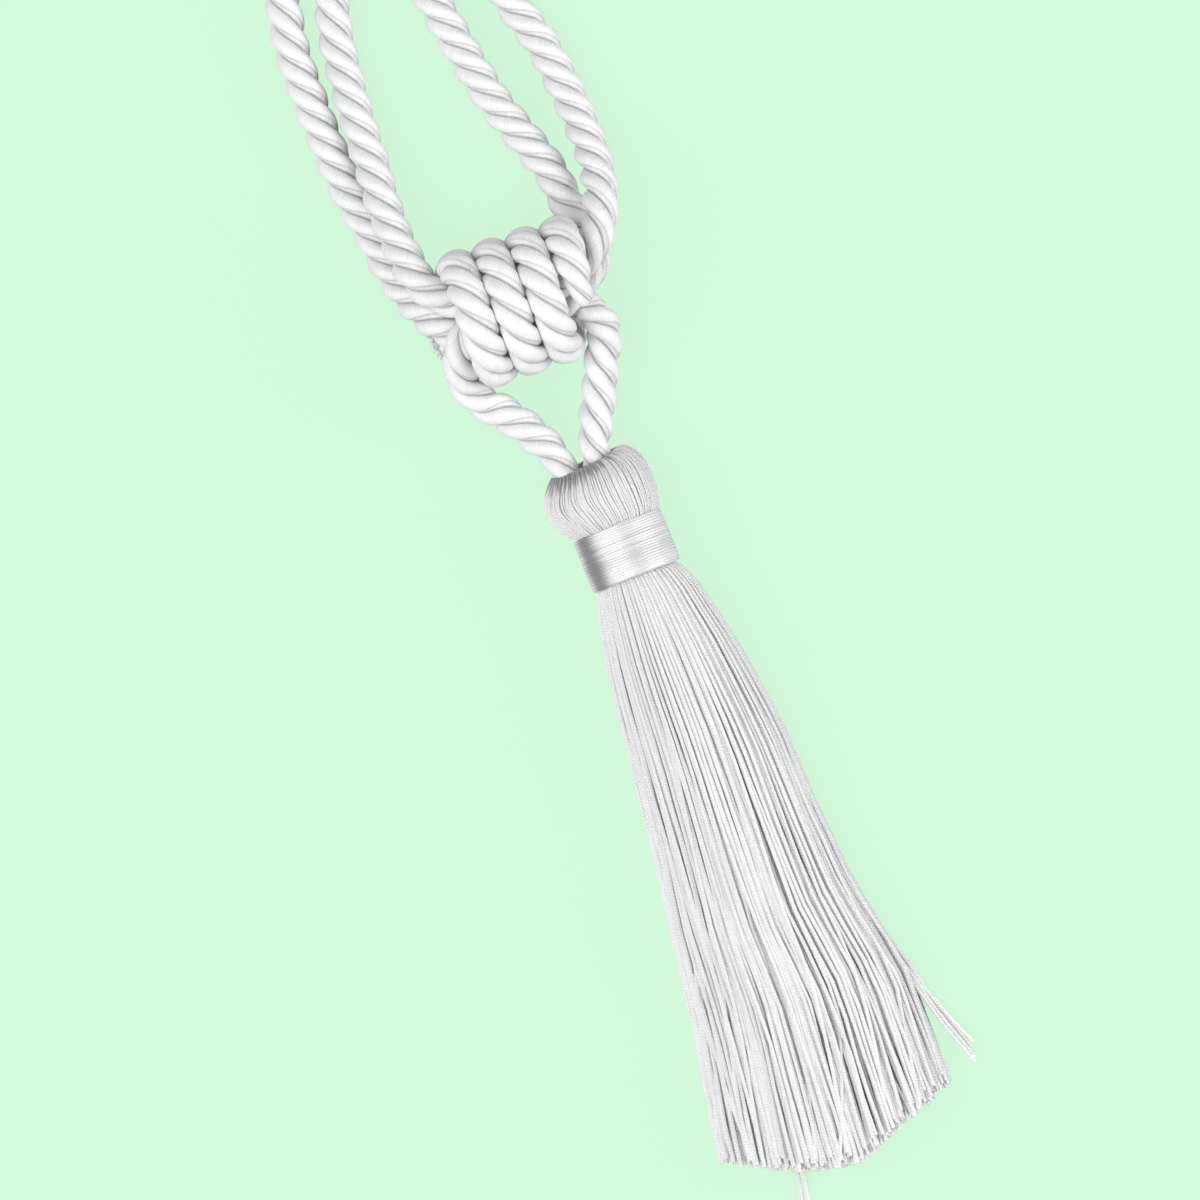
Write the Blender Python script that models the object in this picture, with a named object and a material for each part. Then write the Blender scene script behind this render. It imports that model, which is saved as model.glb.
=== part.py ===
"""Curtain tieback tassel: two long loops of twisted rope, gathered in a wrapped
barrel knot, with a short hanger loop down to a yarn tassel.

It lies face up on a flat surface.  Metres, +Z up, +Y from the tassel to the
loops.  The origin is the flat spot under the tassel's neck band.
"""
import math
import random
from collections import namedtuple

import bmesh
import bpy
from mathutils import Matrix, Vector

MM = 0.001
GAP = 0.3 * MM                      # between pieces that touch on the real thing

# The rope: three plies laid to the left, so the twist runs like the middle of an S.
ROPE_RADIUS = 4.0 * MM              # to the crest of a ply
VALLEY_SHARE = 0.72                 # valley radius over crest radius
PLIES = 3
LAY = 18.3 * MM                     # length in which a ply goes once round
STEPS_PER_LAY = 9
CORE_SIZE = 0.85                    # the rope is squeezed inside the knot
WRAP_SIZE = 0.92                    # and a little where it is wound

# The barrel knot.  Its axis runs along X.
KNOT_CENTRE = Vector((-3.6, 58.4, 16.0)) * MM
WRAP_RADIUS = 12.2 * MM             # from the axis to the middle of the wrapping rope
WRAP_PITCH = 7.8 * MM
WRAP_START_X = -13.5 * MM           # from the centre, where the wrap angle is 0
WRAP_LEAN = 1.1 * MM                # how far each turn's top leads its bottom
WRAP_FIRST_ANGLE = -60.0            # degrees; 0 is the top (+Y) side, 90 the front
WRAP_LAST_ANGLE = 1196.0
WRAP_TAPER_ANGLE = 76.0             # the last wrap thins to a point over this angle
WRAP_DIVE = 2.0 * MM                # and sinks this far towards the axis
WRAP_ANGLE_STEP = 10.0
CORE_RADIUS = 4.17 * MM             # from the axis to the ropes that pass through
CORE_HALF = 10.0 * MM               # half the straight length of those ropes

# The tassel.  Its neck leans a little, head end towards -X.
NECK_HEIGHT = 9.7 * MM
NECK_LEAN = math.radians(3.4)
NECK_RADIUS = 8.6 * MM
NECK_END_Y = -5.0 * MM
BAND_RADIUS = 10.0 * MM
BAND_LENGTH = 12.2 * MM
BAND_EDGE = 0.5 * MM                # rounding of the band's rims
SURFACE_CUT = 60.0 * MM             # side of the block that cuts its underside flat
HEAD_RADIUS = 12.0 * MM
ROUND_STEPS = 24
BAND_STEPS = 40
POCKET_STEPS = 12                   # the hanger's ends sit in two shallow pockets
POCKET_CUT = 8.0 * MM               # length of the cutter, which runs out of the head

# Skirt of strands.
STRANDS = 180
STRAND_HALF = 0.035                 # half a strand's side, in a skirt of radius 1
SKIRT_RIM = 1.0 - 1.5 * STRAND_HALF
ROOT_Y = -3.6 * MM
MOUTH_Y = -7.0 * MM
BEND_Y = -60.0 * MM
UNEVEN_CUT = 3.5 * MM
CUT_SEED = 7

WHITE_SATIN = (0.86, 0.86, 0.87)
WHITE_YARN = (0.84, 0.84, 0.85)
GREY_SATIN = (0.74, 0.74, 0.75)

# A place on a rope's route, in millimetres; size scales the rope's radius there.
Place = namedtuple("Place", "x y z size")

FRONT_LEFT_LEG = [
    Place(-17.6, 62.8, 16.2, 0.87),
    Place(-21.5, 65.5, 16.9, 0.91),
    Place(-24.7, 70.3, 16.2, 1.0),
    Place(-25.9, 76.6, 13.8, 1.0),
    Place(-26.7, 84.2, 11.5, 1.0),
    Place(-26.7, 92.0, 9.8, 1.0),
    Place(-26.4, 100.0, 7.7, 1.0),
    Place(-26.3, 108.0, 6.7, 1.0),
    Place(-25.9, 117.0, 5.4, 1.0),
    Place(-25.2, 126.5, 4.2, 1.0),
    Place(-23.2, 137.0, 4.0, 1.0),
    Place(-20.4, 150.0, 4.0, 1.0),
    Place(-18.0, 166.0, 4.0, 1.0),
    Place(-17.1, 190.0, 4.0, 1.0),
    Place(-17.0, 220.0, 4.0, 1.0),
    Place(-17.0, 244.0, 4.6, 1.0),
    Place(-17.0, 262.0, 8.8, 1.0),
    Place(-17.0, 279.7, 12.6, 1.0),
    Place(-16.6, 293.0, 10.0, 1.0),
]
FRONT_FAR_BEND = [
    Place(-13.8, 303.5, 6.8, 1.0),
    Place(-8.4, 310.6, 4.8, 1.0),
    Place(-0.8, 313.4, 4.0, 1.0),
    Place(7.0, 311.0, 4.0, 1.0),
    Place(12.6, 304.0, 4.0, 1.0),
    Place(15.0, 293.0, 4.0, 1.0),
]
FRONT_RIGHT_LEG = [
    Place(15.2, 270.0, 4.0, 1.0),
    Place(14.8, 240.0, 4.0, 1.0),
    Place(13.0, 210.0, 4.0, 1.0),
    Place(10.2, 182.0, 4.0, 1.0),
    Place(8.9, 160.0, 4.0, 1.0),
    Place(10.2, 142.0, 4.0, 1.0),
    Place(14.1, 124.1, 4.0, 1.0),
    Place(18.0, 111.0, 4.1, 1.0),
    Place(19.8, 98.4, 4.9, 1.0),
    Place(20.5, 87.5, 7.8, 1.0),
    Place(20.0, 79.8, 11.4, 1.0),
    Place(18.3, 73.4, 15.2, 1.0),
    Place(15.6, 67.4, 17.6, 0.95),
    Place(11.6, 63.0, 18.0, 0.87),
]
BACK_LEFT_LEG = [
    Place(-18.2, 56.3, 12.4, 0.86),
    Place(-22.2, 58.2, 12.3, 0.91),
    Place(-25.8, 63.5, 9.4, 1.0),
    Place(-28.4, 69.6, 6.3, 1.0),
    Place(-30.3, 77.5, 4.8, 1.0),
    Place(-31.7, 85.8, 4.3, 1.0),
    Place(-33.4, 95.5, 4.0, 1.0),
    Place(-34.4, 107.0, 4.0, 1.0),
    Place(-35.0, 118.0, 4.0, 1.0),
    Place(-35.1, 129.0, 4.0, 1.0),
    Place(-33.5, 140.4, 4.0, 1.0),
    Place(-31.4, 156.0, 4.0, 1.0),
    Place(-30.2, 180.0, 4.0, 1.0),
    Place(-30.0, 215.0, 4.0, 1.0),
    Place(-30.0, 245.0, 4.0, 1.0),
    Place(-29.4, 260.0, 4.0, 1.0),
]
BACK_FAR_BEND = [
    Place(-26.6, 270.6, 4.0, 1.0),
    Place(-21.4, 277.6, 4.0, 1.0),
    Place(-14.0, 280.2, 4.0, 1.0),
    Place(-6.6, 277.6, 4.0, 1.0),
    Place(-1.4, 270.6, 4.0, 1.0),
    Place(1.4, 260.0, 4.0, 1.0),
]
BACK_RIGHT_LEG = [
    Place(2.0, 240.0, 4.0, 1.0),
    Place(1.0, 210.0, 4.0, 1.0),
    Place(-3.2, 180.0, 4.0, 1.0),
    Place(-5.6, 160.0, 4.0, 1.0),
    Place(-5.0, 144.0, 4.0, 1.0),
    Place(-2.2, 129.8, 4.0, 1.0),
    Place(0.4, 117.0, 4.0, 1.0),
    Place(3.5, 104.0, 4.0, 1.0),
    Place(7.4, 93.8, 4.1, 1.0),
    Place(10.4, 85.6, 4.6, 1.0),
    Place(11.6, 78.4, 5.2, 1.0),
    Place(13.2, 71.6, 5.4, 1.0),
    Place(14.0, 66.0, 6.2, 0.93),
    Place(12.9, 61.8, 8.2, 0.88),
    Place(10.2, 59.2, 10.2, 0.86),
]
HANGER_RIGHT_LEG = [
    Place(7.6, 54.0, 17.6, 0.87),
    Place(9.8, 51.0, 15.6, 0.93),
    Place(10.4, 46.8, 13.0, 1.0),
    Place(8.2, 41.9, 10.9, 1.0),
    Place(6.2, 37.2, 9.9, 1.0),
    Place(4.2, 32.8, 9.8, 1.0),
    Place(2.2, 28.5, 10.0, 0.98),
    Place(0.5, 24.6, 10.4, 0.88),
    Place(-0.1, 21.1, 10.6, 0.85),
]
HANGER_LEFT_LEG = [
    Place(-18.1, 55.8, 19.8, 0.86),
    Place(-20.5, 53.2, 19.2, 0.93),
    Place(-21.7, 49.6, 16.0, 0.98),
    Place(-21.9, 45.6, 12.0, 0.98),
    Place(-20.0, 41.2, 10.3, 1.0),
    Place(-16.2, 37.2, 9.8, 1.0),
    Place(-13.1, 33.0, 9.8, 1.0),
    Place(-10.4, 28.6, 10.0, 0.98),
    Place(-8.5, 24.6, 10.4, 0.88),
    Place(-7.8, 21.1, 10.6, 0.85),
]
# The wrapping rope's blunt free end, which peeks out at the knot's lower left.
TAIL = [
    Place(-25.4, 57.3, 3.75, 0.92),
    Place(-23.2, 57.7, 3.75, 0.92),
    Place(-20.6, 59.2, 3.85, 0.92),
    Place(-18.8, 61.4, 4.4, 0.92),
]

# The head's turned outline: along the axis from the band's middle, and radius.
HEAD_OUTLINE = [
    (22.8, 0.0),
    (22.5, 5.0),
    (21.3, 8.6),
    (18.6, 11.1),
    (15.0, 12.0),
    (11.2, 11.8),
    (8.2, 10.6),
    (6.5, 8.9),
]

# The skirt's cross-section at places down its length, in millimetres: its edges
# in X, its height, how high its underside is, and how flat that underside is.
Section = namedtuple("Section", "y left right height base flat")
SKIRT = [
    Section(-3.0, -8.2, 8.7, 16.9, 1.25, 0.0),
    Section(-7.0, -8.2, 9.05, 17.2, 1.1, 0.0),
    Section(-20.0, -10.8, 13.3, 19.4, 0.1, 0.6),
    Section(-49.0, -13.4, 19.0, 19.4, 0.05, 1.0),
    Section(-90.0, -17.2, 24.6, 18.2, 0.05, 1.0),
    Section(-134.0, -24.4, 28.4, 17.0, 0.05, 1.0),
    Section(-156.0, -26.0, 29.6, 17.0, 0.05, 1.0),
]

# Strands that part from the rest: which one (across and up, from -1 to 1),
# where it bends away, and how far its cut end then lies from its own place.
Stray = namedtuple("Stray", "across up bend_y shift_x shift_y")
STRAYS = [
    Stray(0.93, -0.25, -108.0, 10.0, 6.0),
    Stray(-0.30, -0.90, -130.0, 1.0, -9.0),
]


def material(name, colour, roughness):
    """A plain Principled BSDF."""
    made = bpy.data.materials.new(name)
    made.use_nodes = True
    shader = made.node_tree.nodes["Principled BSDF"]
    shader.inputs["Base Color"].default_value = (*colour, 1.0)
    shader.inputs["Roughness"].default_value = roughness
    shader.inputs["Metallic"].default_value = 0.0
    return made


def collection(name):
    made = bpy.data.collections.new(name)
    bpy.context.scene.collection.children.link(made)
    return made


def add_object(name, data, home, finish=None):
    made = bpy.data.objects.new(name, data)
    home.objects.link(made)
    if finish is not None:
        made.data.materials.clear()
        made.data.materials.append(finish)
    return made


def finished_mesh(name, bm):
    """Turns a closed bmesh into a mesh whose faces point out."""
    bmesh.ops.recalc_face_normals(bm, faces=bm.faces[:])
    mesh = bpy.data.meshes.new(name)
    bm.to_mesh(mesh)
    bm.free()
    return mesh


def hide_helper(helper):
    helper.hide_render = True
    helper.display_type = "WIRE"


def in_metres(places):
    return [Place(p.x * MM, p.y * MM, p.z * MM, p.size) for p in places]


def smooth_route(places, samples=16):
    """Reads a Catmull-Rom curve through the places, ends included."""
    padded = [places[0], *places, places[-1]]
    route = []
    for before, start, end, after in zip(padded, padded[1:], padded[2:], padded[3:]):
        for step in range(samples):
            t = step / samples
            route.append(Place(*(
                0.5 * (2 * b + (c - a) * t + (2 * a - 5 * b + 4 * c - d) * t * t
                       + (3 * b - a - 3 * c + d) * t ** 3)
                for a, b, c, d in zip(before, start, end, after))))
    route.append(places[-1])
    return route


def even_steps(route, step):
    """Reads places an even distance apart along a finely sampled route."""
    reached = [0.0]
    for here, there in zip(route, route[1:]):
        reached.append(reached[-1] + math.dist(here[:3], there[:3]))
    count = max(2, round(reached[-1] / step))
    places = []
    k = 0
    for i in range(count + 1):
        wanted = reached[-1] * i / count
        while k < len(route) - 2 and reached[k + 1] < wanted:
            k += 1
        t = (wanted - reached[k]) / (reached[k + 1] - reached[k])
        places.append(Place(*(a + (b - a) * t for a, b in zip(route[k], route[k + 1]))))
    return places


def core_place(x, angle):
    """A place on a rope that passes through the knot, at this angle round its axis."""
    turn = math.radians(angle)
    return Place(
        KNOT_CENTRE.x + x,
        KNOT_CENTRE.y + CORE_RADIUS * math.cos(turn),
        KNOT_CENTRE.z + CORE_RADIUS * math.sin(turn),
        CORE_SIZE)


def core_pass(left_angle, right_angle, left_x, right_x):
    """Places through the knot from left_x to right_x; the core ropes twist a little."""
    places = []
    for step in range(5):
        x = left_x + (right_x - left_x) * step / 4
        share = (x + CORE_HALF) / (2 * CORE_HALF)
        share = min(1.0, max(0.0, share))
        places.append(core_place(x, left_angle + (right_angle - left_angle) * share))
    return places


def wrap_place(angle):
    """A place on the winding of the knot; angle in degrees."""
    turn = math.radians(angle)
    left = WRAP_LAST_ANGLE - angle
    thin = min(1.0, left / WRAP_TAPER_ANGLE)
    sunk = WRAP_DIVE * (1.0 - thin) ** 2
    return Place(
        KNOT_CENTRE.x + WRAP_START_X + WRAP_PITCH * angle / 360 + WRAP_LEAN * math.cos(turn),
        KNOT_CENTRE.y + (WRAP_RADIUS - sunk) * math.cos(turn),
        KNOT_CENTRE.z + (WRAP_RADIUS - sunk) * math.sin(turn),
        WRAP_SIZE * (0.3 + 0.7 * math.sin(thin * math.pi / 2)))


def rope_routes():
    """The centre line of each length of rope, finely sampled."""
    half_gap = GAP / 2
    ring = []
    for left, bend, right, angles in (
            (FRONT_LEFT_LEG, FRONT_FAR_BEND, FRONT_RIGHT_LEG, (0, 30)),
            (BACK_LEFT_LEG, BACK_FAR_BEND, BACK_RIGHT_LEG, (240, 270))):
        start = core_pass(*angles, -half_gap, -CORE_HALF)
        finish = core_pass(*angles, CORE_HALF, half_gap)
        ring.append(smooth_route(start + in_metres(left + bend + right) + finish))
    hanger = (in_metres(HANGER_LEFT_LEG[::-1])
              + core_pass(120, 150, -CORE_HALF, CORE_HALF)
              + in_metres(HANGER_RIGHT_LEG))
    turns = round((WRAP_LAST_ANGLE - WRAP_FIRST_ANGLE) / WRAP_ANGLE_STEP)
    winding = []
    for i in range(turns + 1):
        share = i / turns
        winding.append(wrap_place(
            WRAP_FIRST_ANGLE + (WRAP_LAST_ANGLE - WRAP_FIRST_ANGLE) * share))
    return {
        "rope_loop_front": ring[0],
        "rope_loop_back": ring[1],
        "rope_hanger": smooth_route(hanger),
        "rope_wraps": smooth_route(in_metres(TAIL) + winding),
    }


def rope_profile(guides):
    """The rope's section: a crest for each ply and a valley between."""
    data = bpy.data.curves.new("rope_profile", "CURVE")
    data.dimensions = "2D"
    spline = data.splines.new("POLY")
    spline.points.add(2 * PLIES - 1)
    for i, point in enumerate(spline.points):
        radius = ROPE_RADIUS * (VALLEY_SHARE if i % 2 else 1.0)
        turn = -math.pi * i / PLIES
        point.co = (radius * math.cos(turn), radius * math.sin(turn), 0.0, 1.0)
    spline.use_cyclic_u = True
    profile = add_object("rope_profile", data, guides)
    hide_helper(profile)
    return profile


def rope(name, route, profile, home, finish):
    """A curve along the route, whose tilt lays the plies round it."""
    places = even_steps(route, LAY / STEPS_PER_LAY)
    data = bpy.data.curves.new(name, "CURVE")
    data.dimensions = "3D"
    data.twist_mode = "MINIMUM"
    data.bevel_mode = "OBJECT"
    data.bevel_object = profile
    data.use_fill_caps = True
    data.render_resolution_u = 0
    spline = data.splines.new("POLY")
    spline.points.add(len(places) - 1)
    for i, (point, place) in enumerate(zip(spline.points, places)):
        point.co = (place.x, place.y, place.z, 1.0)
        point.radius = place.size
        point.tilt = -2 * math.pi * i / STEPS_PER_LAY
    return add_object(name, data, home, finish)


def turned_mesh(name, outline, steps):
    """Turns an outline of (along the axis, radius) about the neck's axis."""
    bm = bmesh.new()
    verts = [bm.verts.new((radius, along, 0.0)) for along, radius in outline]
    for here, there in zip(verts, verts[1:]):
        bm.edges.new((here, there))
    if outline[0][1] > 0.0:
        bm.edges.new((verts[-1], verts[0]))
    bmesh.ops.spin(
        bm, geom=bm.verts[:] + bm.edges[:], cent=(0, 0, 0), axis=(0, 1, 0),
        angle=2 * math.pi, steps=steps, use_merge=True)
    bmesh.ops.remove_doubles(bm, verts=bm.verts[:], dist=0.001 * MM)
    return finished_mesh(name, bm)


def lay_on_neck(made):
    """Puts a piece that was made about the Y axis onto the leaning neck."""
    made.data.transform(
        Matrix.Translation((0.0, 0.0, NECK_HEIGHT)) @ Matrix.Rotation(NECK_LEAN, 4, "Z"))


def section_at(y):
    """The skirt's section at this distance down it, in metres."""
    rows = [Section(*(v * MM for v in row[:5]), row.flat) for row in SKIRT]
    for above, below in zip(rows, rows[1:]):
        if y >= below.y:
            break
    t = (y - above.y) / (below.y - above.y)
    return Section(*(a + (b - a) * t for a, b in zip(above, below)))


def skirt_point(across, up, y):
    """Carries a place in a straight bundle of radius 1 into the lying skirt."""
    at = section_at(y)
    edge = math.sqrt(max(0.0, 1.0 - across * across))
    underside = (1.0 - at.flat) + at.flat * edge
    return Vector((
        (at.left + at.right) / 2 + across * (at.right - at.left) / 2,
        y,
        at.base + at.height / 2 * (up + underside)))


def strand_places():
    """Even places over a disc of radius 1, by the sunflower's rule."""
    golden = math.pi * (3.0 - math.sqrt(5.0))
    places = []
    for i in range(STRANDS):
        radius = SKIRT_RIM * math.sqrt((i + 0.5) / STRANDS)
        places.append((radius * math.cos(i * golden), radius * math.sin(i * golden)))
    return places


def cut_y(across):
    """Where the scissors cut the skirt: longest in the middle."""
    short = 8.0 * MM if across < 0.0 else 6.5 * MM
    return -142.0 * MM + short * across * across


def add_strand(bm, across, up, stations, shift):
    """One four-sided strand, pushed out from station to station."""
    corners = bmesh.ops.create_circle(
        bm, cap_ends=True, segments=4, radius=STRAND_HALF * math.sqrt(2.0),
        matrix=Matrix.Translation((across, up, stations[0]))
        @ Matrix.Rotation(math.pi / 4, 4, "Z"))["verts"]
    face = corners[0].link_faces[0]
    strand = list(corners)
    for here, there in zip(stations, stations[1:]):
        grown = bmesh.ops.extrude_face_region(bm, geom=[face])["geom"]
        if here != stations[0]:
            bm.faces.remove(face)
        new_verts = [g for g in grown if isinstance(g, bmesh.types.BMVert)]
        face = next(g for g in grown if isinstance(g, bmesh.types.BMFace))
        bmesh.ops.translate(bm, verts=new_verts, vec=(0.0, 0.0, there - here))
        strand += new_verts
    for vert in strand:
        is_end = abs(vert.co.z - stations[-1]) < 0.01 * MM
        vert.co = skirt_point(vert.co.x, vert.co.y, vert.co.z)
        if is_end:
            vert.co += Vector(shift)


def strands_mesh():
    """All the strands, still apart from the neck that holds their roots."""
    uneven = random.Random(CUT_SEED)
    places = strand_places()
    strayed = {}
    for stray in STRAYS:
        nearest = min(range(STRANDS), key=lambda i: math.dist(
            places[i], (stray.across, stray.up)))
        strayed[nearest] = stray
    bm = bmesh.new()
    for i, (across, up) in enumerate(places):
        stations = [ROOT_Y, MOUTH_Y, BEND_Y, cut_y(across) + UNEVEN_CUT * uneven.random()]
        shift = (0.0, 0.0, 0.0)
        if i in strayed:
            stations.insert(3, strayed[i].bend_y * MM)
            shift = (strayed[i].shift_x * MM, strayed[i].shift_y * MM, 0.0)
        add_strand(bm, across, up, stations, shift)
    return finished_mesh("skirt_strands", bm)


def boolean(target, cutter, operation):
    added = target.modifiers.new(f"{operation.lower()}_{cutter.name}", "BOOLEAN")
    added.operation = operation
    added.object = cutter
    hide_helper(cutter)


def pocket(name, leg, guides):
    """The cutter for the head's pocket round one end of the hanger."""
    end = Vector(leg[-1][:3]) * MM
    heading = (end - Vector(leg[-2][:3]) * MM).normalized()
    floor = end + heading * GAP
    bm = bmesh.new()
    bmesh.ops.create_cone(
        bm, cap_ends=True, segments=POCKET_STEPS, depth=POCKET_CUT,
        radius1=ROPE_RADIUS * CORE_SIZE + GAP, radius2=ROPE_RADIUS * CORE_SIZE + GAP,
        matrix=Matrix.Translation(floor - heading * POCKET_CUT / 2)
        @ heading.to_track_quat("Z", "Y").to_matrix().to_4x4())
    return add_object(name, finished_mesh(name, bm), guides)


def tassel(home, guides, finish):
    """Head and neck in one, pressed flatter underneath, with the strands rooted in it."""
    outline = [(along * MM, radius * MM) for along, radius in HEAD_OUTLINE]
    outline += [(BAND_LENGTH / 2, NECK_RADIUS), (NECK_END_Y, NECK_RADIUS), (NECK_END_Y, 0.0)]
    mesh = turned_mesh("tassel", outline, ROUND_STEPS)
    for vert in mesh.vertices:
        if vert.co.z < 0.0 and vert.co.y > BAND_LENGTH / 2:
            vert.co.z *= NECK_HEIGHT / HEAD_RADIUS
    made = add_object("tassel", mesh, home, finish)
    lay_on_neck(made)
    boolean(made, pocket("pocket_left", HANGER_LEFT_LEG, guides), "DIFFERENCE")
    boolean(made, pocket("pocket_right", HANGER_RIGHT_LEG, guides), "DIFFERENCE")
    boolean(made, add_object("skirt_strands", strands_mesh(), guides), "UNION")
    return made


def neck_band(home, guides, finish):
    """The wound satin band: a ring round the neck, flat where it lies."""
    inner = NECK_RADIUS + GAP
    half = BAND_LENGTH / 2
    outline = [
        (half, inner),
        (half, BAND_RADIUS - BAND_EDGE),
        (half - BAND_EDGE, BAND_RADIUS),
        (-half + BAND_EDGE, BAND_RADIUS),
        (-half, BAND_RADIUS - BAND_EDGE),
        (-half, inner),
    ]
    made = add_object("neck_band", turned_mesh("neck_band", outline, BAND_STEPS), home, finish)
    lay_on_neck(made)
    bm = bmesh.new()
    bmesh.ops.create_cube(
        bm, size=SURFACE_CUT, matrix=Matrix.Translation((0.0, 0.0, -SURFACE_CUT / 2)))
    boolean(made, add_object("surface_cut", finished_mesh("surface_cut", bm), guides), "DIFFERENCE")
    return made


def main():
    for old in list(bpy.data.objects):
        bpy.data.objects.remove(old)
    home = collection("curtain_tieback_tassel")
    guides = collection("cutters_and_guides")
    rope_satin = material("rope_satin", WHITE_SATIN, 0.42)
    profile = rope_profile(guides)
    for name, route in rope_routes().items():
        rope(name, route, profile, home, rope_satin)
    tassel(home, guides, material("tassel_yarn", WHITE_YARN, 0.5))
    neck_band(home, guides, material("band_satin", GREY_SATIN, 0.3))


main()
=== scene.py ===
# %% [markdown]
# # A curtain tieback with a tassel
#
# The real thing is a soft furnishing: three-ply satin rope in two long loops,
# gathered in a barrel knot, with a short hanger loop down to a yarn tassel.
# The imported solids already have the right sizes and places.  This lesson keeps
# them as a frame and dresses them: rope with real plies, a tassel of single
# yarns and a band of wound thread.

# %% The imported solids
import math
import random
from collections import namedtuple

import bpy
from mathutils import Matrix, Vector, noise


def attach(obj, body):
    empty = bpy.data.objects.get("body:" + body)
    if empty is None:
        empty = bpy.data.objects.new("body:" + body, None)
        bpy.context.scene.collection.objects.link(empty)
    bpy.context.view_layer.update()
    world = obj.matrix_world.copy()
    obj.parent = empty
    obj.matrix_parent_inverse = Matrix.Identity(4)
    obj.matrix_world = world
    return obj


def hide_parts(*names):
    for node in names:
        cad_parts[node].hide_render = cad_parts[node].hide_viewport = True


MM = 0.001

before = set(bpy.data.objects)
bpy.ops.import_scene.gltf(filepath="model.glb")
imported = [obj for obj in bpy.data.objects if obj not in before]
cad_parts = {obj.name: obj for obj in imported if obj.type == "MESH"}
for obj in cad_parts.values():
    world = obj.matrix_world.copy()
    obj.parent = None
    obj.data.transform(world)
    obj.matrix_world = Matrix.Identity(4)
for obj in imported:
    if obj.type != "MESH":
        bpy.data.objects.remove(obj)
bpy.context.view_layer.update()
print("solids:", sorted(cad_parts))

# %% [markdown]
# ## The camera
#
# The tieback was laid flat and photographed from straight above, so there is no
# perspective to speak of.  A long lens keeps it that way.  The camera looks down
# -Z and is only rolled, because the tassel lies a little askew in the picture.

# %% The camera
VIEW_ROLL = math.radians(18.6)          # how far the tassel leans in the picture
VIEW_MIDDLE = Vector((-9.3, -8.5)) * MM
VIEW_SIDE = 266.7 * MM                  # what the square picture takes in
LENS = 135.0
SENSOR = 36.0

lens = bpy.data.cameras.new("camera")
lens.lens = LENS
lens.sensor_width = SENSOR
camera = bpy.data.objects.new("camera", lens)
bpy.context.scene.collection.objects.link(camera)
camera_height = VIEW_SIDE * LENS / SENSOR
camera.location = (*VIEW_MIDDLE, camera_height)
camera.rotation_euler = (0.0, 0.0, -VIEW_ROLL)
bpy.context.scene.camera = camera
print(f"the camera stands {camera_height:.2f} m above the surface")

# %% [markdown]
# ## The routes of the ropes
#
# A rope is a fixed length of something limp, so its route is settled first.  The
# places below are the ones that the solids follow: x, y and z in millimetres, and
# how much the rope is squeezed there.  A Catmull-Rom curve passes through every
# one of them, which a Bezier or a B-spline through the same places wouldn't.

# %% Places along the two long loops
Place = namedtuple("Place", "x y z size")


def places(*rows):
    """Places in metres; a row without a size is rope at its full thickness."""
    return [Place(row[0] * MM, row[1] * MM, row[2] * MM, row[3] if len(row) > 3 else 1.0)
            for row in rows]


FRONT_LOOP = places(
    (-17.6, 62.8, 16.2, 0.87), (-21.5, 65.5, 16.9, 0.91), (-24.7, 70.3, 16.2),
    (-25.9, 76.6, 13.8), (-26.7, 84.2, 11.5), (-26.7, 92.0, 9.8), (-26.4, 100.0, 7.7),
    (-26.3, 108.0, 6.7), (-25.9, 117.0, 5.4), (-25.2, 126.5, 4.2), (-23.2, 137.0, 4.0),
    (-20.4, 150.0, 4.0), (-18.0, 166.0, 4.0), (-17.1, 190.0, 4.0), (-17.0, 220.0, 4.0),
    (-17.0, 244.0, 4.6), (-17.0, 262.0, 8.8), (-17.0, 279.7, 12.6), (-16.6, 293.0, 10.0),
    (-13.8, 303.5, 6.8), (-8.4, 310.6, 4.8), (-0.8, 313.4, 4.0), (7.0, 311.0, 4.0),
    (12.6, 304.0, 4.0), (15.0, 293.0, 4.0), (15.2, 270.0, 4.0), (14.8, 240.0, 4.0),
    (13.0, 210.0, 4.0), (10.2, 182.0, 4.0), (8.9, 160.0, 4.0), (10.2, 142.0, 4.0),
    (14.1, 124.1, 4.0), (18.0, 111.0, 4.1), (19.8, 98.4, 4.9), (20.5, 87.5, 7.8),
    (20.0, 79.8, 11.4), (18.3, 73.4, 15.2), (15.6, 67.4, 17.6, 0.95),
    (11.6, 63.0, 18.0, 0.87))
BACK_LOOP = places(
    (-18.2, 56.3, 12.4, 0.86), (-22.2, 58.2, 12.3, 0.91), (-25.8, 63.5, 9.4),
    (-28.4, 69.6, 6.3), (-30.3, 77.5, 4.8), (-31.7, 85.8, 4.3), (-33.4, 95.5, 4.0),
    (-34.4, 107.0, 4.0), (-35.0, 118.0, 4.0), (-35.1, 129.0, 4.0), (-33.5, 140.4, 4.0),
    (-31.4, 156.0, 4.0), (-30.2, 180.0, 4.0), (-30.0, 215.0, 4.0), (-30.0, 245.0, 4.0),
    (-29.4, 260.0, 4.0), (-26.6, 270.6, 4.0), (-21.4, 277.6, 4.0), (-14.0, 280.2, 4.0),
    (-6.6, 277.6, 4.0), (-1.4, 270.6, 4.0), (1.4, 260.0, 4.0), (2.0, 240.0, 4.0),
    (1.0, 210.0, 4.0), (-3.2, 180.0, 4.0), (-5.6, 160.0, 4.0), (-5.0, 144.0, 4.0),
    (-2.2, 129.8, 4.0), (0.4, 117.0, 4.0), (3.5, 104.0, 4.0), (7.4, 93.8, 4.1),
    (10.4, 85.6, 4.6), (11.6, 78.4, 5.2), (13.2, 71.6, 5.4), (14.0, 66.0, 6.2, 0.93),
    (12.9, 61.8, 8.2, 0.88), (10.2, 59.2, 10.2, 0.86))

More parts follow.
